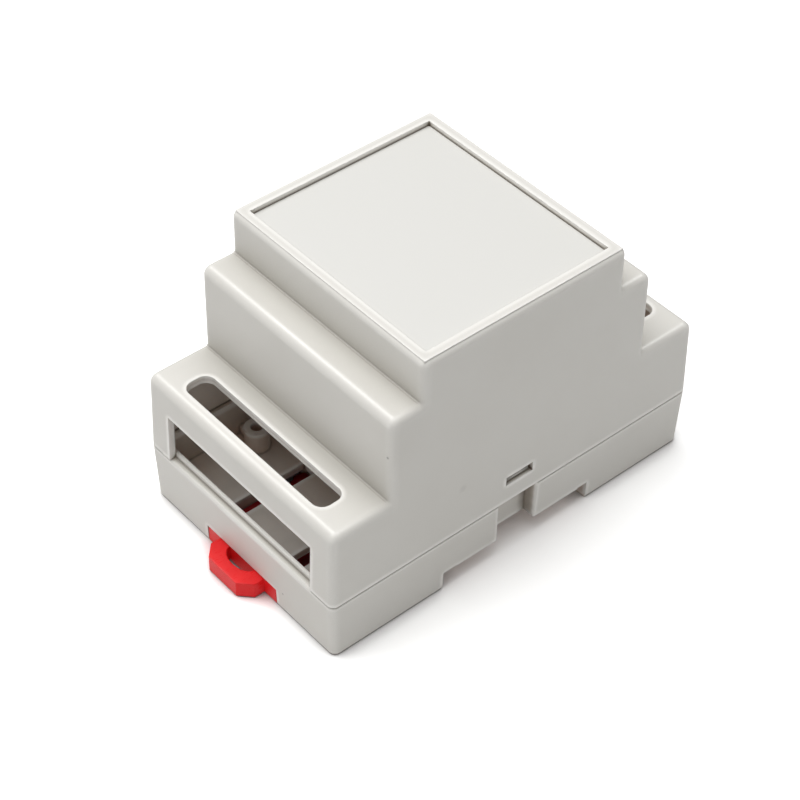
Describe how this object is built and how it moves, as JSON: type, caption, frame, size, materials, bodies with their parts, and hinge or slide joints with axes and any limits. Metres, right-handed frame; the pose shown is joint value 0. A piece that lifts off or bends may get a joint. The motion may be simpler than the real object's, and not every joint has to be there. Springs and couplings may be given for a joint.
{
  "type": "din rail enclosure",
  "caption": "Stepped plastic case for electronics with wire openings at both ends, a recessed top panel and a red sliding latch that holds it on a top-hat rail",
  "frame": {"origin": "middle of the rail seat, the flat under the floor of the base that lies against the rail", "axes": "+X along the rail, +Y across the rail from the latch's end to the end with the fixed hooks, +Z away from the rail towards the top panel"},
  "size_m": [0.054, 0.0921, 0.059],
  "materials": {
    "housing": "fine satin moulding",
    "panel": "fine satin moulding",
    "clip": "smooth moulding"
  },
  "bodies": {
    "housing": {"base": "housing", "cover": "housing", "top_panel": "panel"},
    "latch": {"rail_clip": "clip"}
  },
  "joints": [
    {"name": "latch_slide", "type": "slide", "parent": "housing", "child": "latch", "axis": [0, -1, 0], "range_m": [0, 0.004]}
  ]
}
